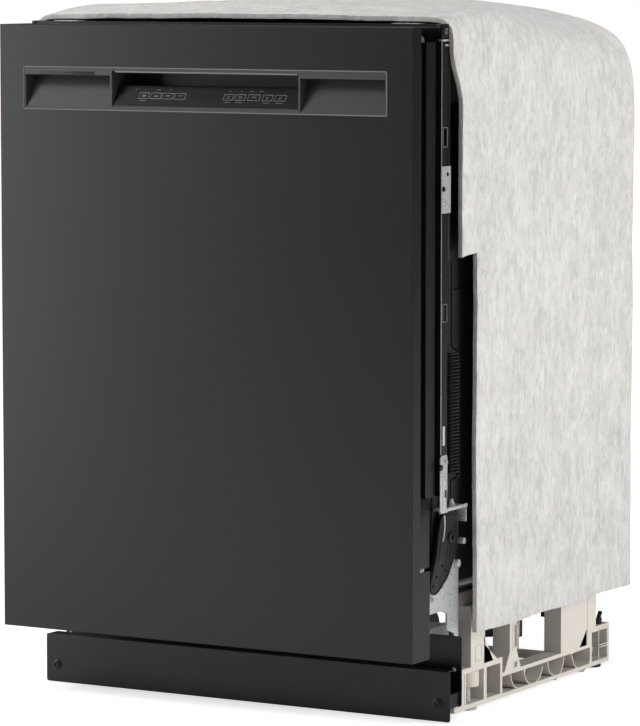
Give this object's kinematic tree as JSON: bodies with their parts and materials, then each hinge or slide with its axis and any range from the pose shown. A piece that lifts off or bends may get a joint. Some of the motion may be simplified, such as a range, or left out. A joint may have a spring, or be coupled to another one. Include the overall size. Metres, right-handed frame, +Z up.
{
  "type": "built-in dishwasher",
  "caption": "Built-in dishwasher with a drop-down door, pocket handle with touch console, felt-wrapped tub, two racks, spray arms, sprung hinges, base frame and toe panel",
  "frame": {"origin": "centre of the overall box in X and Y, on the floor under the feet", "axes": "+Z up, -Y towards the person at the door, +X to that person's right"},
  "size_m": [0.606, 0.64, 0.896],
  "materials": {
    "black_panel": "satin baked enamel",
    "black_steel": "semi-gloss black",
    "galvanised_steel": "galvanised sheet",
    "stainless": "brushed stainless",
    "beige_plastic": "matt moulded",
    "black_plastic": "matt moulded",
    "gloss_black": "polished",
    "felt": "needled felt, mottled",
    "rack_nylon": "nylon-coated wire",
    "grey_plastic": "matt moulded",
    "light_plastic": "matt moulded",
    "seal_rubber": "matt rubber",
    "board_green": "coated board",
    "heater_metal": "dull steel rod"
  },
  "bodies": {
    "root": {"access_panel": "black_steel", "base_frame": "beige_plastic", "countertop_brackets": "galvanised_steel", "door_gasket": "seal_rubber", "door_springs": "black_steel", "drain_pump": "black_plastic", "feed_tube": "grey_plastic", "filter_plate": "stainless", "heating_element": "heater_metal", "hinge_bracket_left": "galvanised_steel", "hinge_bracket_right": "galvanised_steel", "hinge_cams": "black_plastic", "inlet_valve": "black_plastic", "insulation_blanket": "felt", "junction_box": "galvanised_steel", "latch_strike": "galvanised_steel", "rear_feet": "black_plastic", "side_brackets": "galvanised_steel", "sump": "black_plastic", "toe_panel": "black_steel", "toe_panel_screws": "black_steel", "tub_frame": "black_steel", "tub_rollers": "grey_plastic", "wash_pump": "black_plastic", "wash_tub": "stainless"},
    "door": {"outer_door_panel": "black_panel", "door_inner_frame": "black_steel", "door_liner": "stainless", "door_bottom_seal": "seal_rubber", "door_latch": "black_plastic", "control_board": "board_green", "console_housing": "black_plastic", "console_overlay": "gloss_black", "display_window": "gloss_black", "dispenser_body": "light_plastic", "hinge_arm_left": "galvanised_steel", "hinge_arm_right": "galvanised_steel"},
    "lower_rack": {"lower_rack": "rack_nylon", "silverware_basket": "grey_plastic"},
    "dispenser_lid": {"dispenser_lid": "light_plastic"},
    "rinse_aid_cap": {"rinse_aid_cap": "grey_plastic"},
    "upper_rack": {"upper_rack": "rack_nylon"},
    "upper_rack_tracks": {"upper_rack_tracks": "stainless"},
    "front_wheels": {"lower_rack_wheels_front": "grey_plastic"},
    "rear_wheels": {"lower_rack_wheels_rear": "grey_plastic"},
    "filter_cup": {"filter_cup": "grey_plastic"},
    "lower_spray_arm": {"lower_spray_arm": "grey_plastic"},
    "upper_spray_arm": {"upper_spray_arm": "grey_plastic"},
    "overfill_float": {"overfill_float": "light_plastic"},
    "levelling_leg_left": {"levelling_leg_left": "galvanised_steel"},
    "levelling_leg_right": {"levelling_leg_right": "galvanised_steel"},
    "heavy_key": {"heavy_key": "gloss_black"},
    "normal_key": {"normal_key": "gloss_black"},
    "light_key": {"light_key": "gloss_black"},
    "rinse_key": {"rinse_key": "gloss_black"},
    "heat_key": {"heat_key": "gloss_black"},
    "delay_key": {"delay_key": "gloss_black"},
    "lock_key": {"lock_key": "gloss_black"},
    "start_key": {"start_key": "gloss_black"},
    "cancel_key": {"cancel_key": "gloss_black"}
  },
  "joints": [
    {"name": "door_hinge", "type": "hinge", "parent": "root", "child": "door", "pos_m": [0, -0.262, 0.15], "axis": [1, 0, 0], "range_deg": [0, 90], "stiffness_Nm_per_rad": 16, "deforming": ["door_springs"]},
    {"name": "upper_tracks_slide", "type": "slide", "parent": "root", "child": "upper_rack_tracks", "axis": [0, -1, 0], "range_m": [0, 0.236]},
    {"name": "upper_rack_slide", "type": "slide", "parent": "upper_rack_tracks", "child": "upper_rack", "axis": [0, -1, 0], "range_m": [0, 0.236]},
    {"name": "lower_rack_slide", "type": "slide", "parent": "root", "child": "lower_rack", "axis": [0, -1, 0], "range_m": [0, 0.0945]},
    {"name": "front_wheels_roll", "type": "hinge", "parent": "lower_rack", "child": "front_wheels", "pos_m": [0, -0.163, 0.181], "axis": [1, 0, 0], "range_deg": [0, 301]},
    {"name": "rear_wheels_roll", "type": "hinge", "parent": "lower_rack", "child": "rear_wheels", "pos_m": [0, 0.2, 0.181], "axis": [1, 0, 0], "range_deg": [0, 301]},
    {"name": "upper_arm_spin", "type": "hinge", "parent": "upper_rack", "child": "upper_spray_arm", "pos_m": [0, 0.02, 0.5], "axis": [0, 0, 1], "continuous": true},
    {"name": "lower_arm_spin", "type": "hinge", "parent": "root", "child": "lower_spray_arm", "pos_m": [0, 0.04, 0.18], "axis": [0, 0, 1], "continuous": true},
    {"name": "filter_twist", "type": "hinge", "parent": "root", "child": "filter_cup", "pos_m": [0.05, 0.065, 0.16], "axis": [0, 0, 1], "range_deg": [0, 90]},
    {"name": "float_lift", "type": "slide", "parent": "root", "child": "overfill_float", "axis": [0, 0, 1], "range_m": [0, 0.01]},
    {"name": "dispenser_lid_slide", "type": "slide", "parent": "door", "child": "dispenser_lid", "axis": [-1, 0, 0], "range_m": [0, 0.058]},
    {"name": "rinse_cap_twist", "type": "hinge", "parent": "door", "child": "rinse_aid_cap", "pos_m": [0.045, -0.242, 0.4], "axis": [0, 1, 0], "range_deg": [0, 90]},
    {"name": "levelling_left", "type": "slide", "parent": "root", "child": "levelling_leg_left", "axis": [0, 0, -1], "range_m": [0, 0.02]},
    {"name": "levelling_right", "type": "slide", "parent": "root", "child": "levelling_leg_right", "axis": [0, 0, -1], "range_m": [0, 0.02]},
    {"name": "heavy_press", "type": "slide", "parent": "door", "child": "heavy_key", "axis": [0, 0.8387, -0.5446], "range_m": [0, 0.0008], "stiffness_N_per_m": 600, "springref_m": -0.001},
    {"name": "normal_press", "type": "slide", "parent": "door", "child": "normal_key", "axis": [0, 0.8387, -0.5446], "range_m": [0, 0.0008], "stiffness_N_per_m": 600, "springref_m": -0.001},
    {"name": "light_press", "type": "slide", "parent": "door", "child": "light_key", "axis": [0, 0.8387, -0.5446], "range_m": [0, 0.0008], "stiffness_N_per_m": 600, "springref_m": -0.001},
    {"name": "rinse_press", "type": "slide", "parent": "door", "child": "rinse_key", "axis": [0, 0.8387, -0.5446], "range_m": [0, 0.0008], "stiffness_N_per_m": 600, "springref_m": -0.001},
    {"name": "heat_press", "type": "slide", "parent": "door", "child": "heat_key", "axis": [0, 0.8387, -0.5446], "range_m": [0, 0.0008], "stiffness_N_per_m": 600, "springref_m": -0.001},
    {"name": "delay_press", "type": "slide", "parent": "door", "child": "delay_key", "axis": [0, 0.8387, -0.5446], "range_m": [0, 0.0008], "stiffness_N_per_m": 600, "springref_m": -0.001},
    {"name": "lock_press", "type": "slide", "parent": "door", "child": "lock_key", "axis": [0, 0.8387, -0.5446], "range_m": [0, 0.0008], "stiffness_N_per_m": 600, "springref_m": -0.001},
    {"name": "start_press", "type": "slide", "parent": "door", "child": "start_key", "axis": [0, 0.8387, -0.5446], "range_m": [0, 0.0008], "stiffness_N_per_m": 600, "springref_m": -0.001},
    {"name": "cancel_press", "type": "slide", "parent": "door", "child": "cancel_key", "axis": [0, 0.8387, -0.5446], "range_m": [0, 0.0008], "stiffness_N_per_m": 600, "springref_m": -0.001}
  ],
  "couplings": [
    {"joint": "upper_tracks_slide", "follows": "door_hinge", "m_per_rad": 0.15},
    {"joint": "upper_rack_slide", "follows": "door_hinge", "m_per_rad": 0.15},
    {"joint": "lower_rack_slide", "follows": "door_hinge", "m_per_rad": 0.06},
    {"joint": "front_wheels_roll", "follows": "door_hinge", "ratio": 3.3333},
    {"joint": "rear_wheels_roll", "follows": "door_hinge", "ratio": 3.3333}
  ]
}
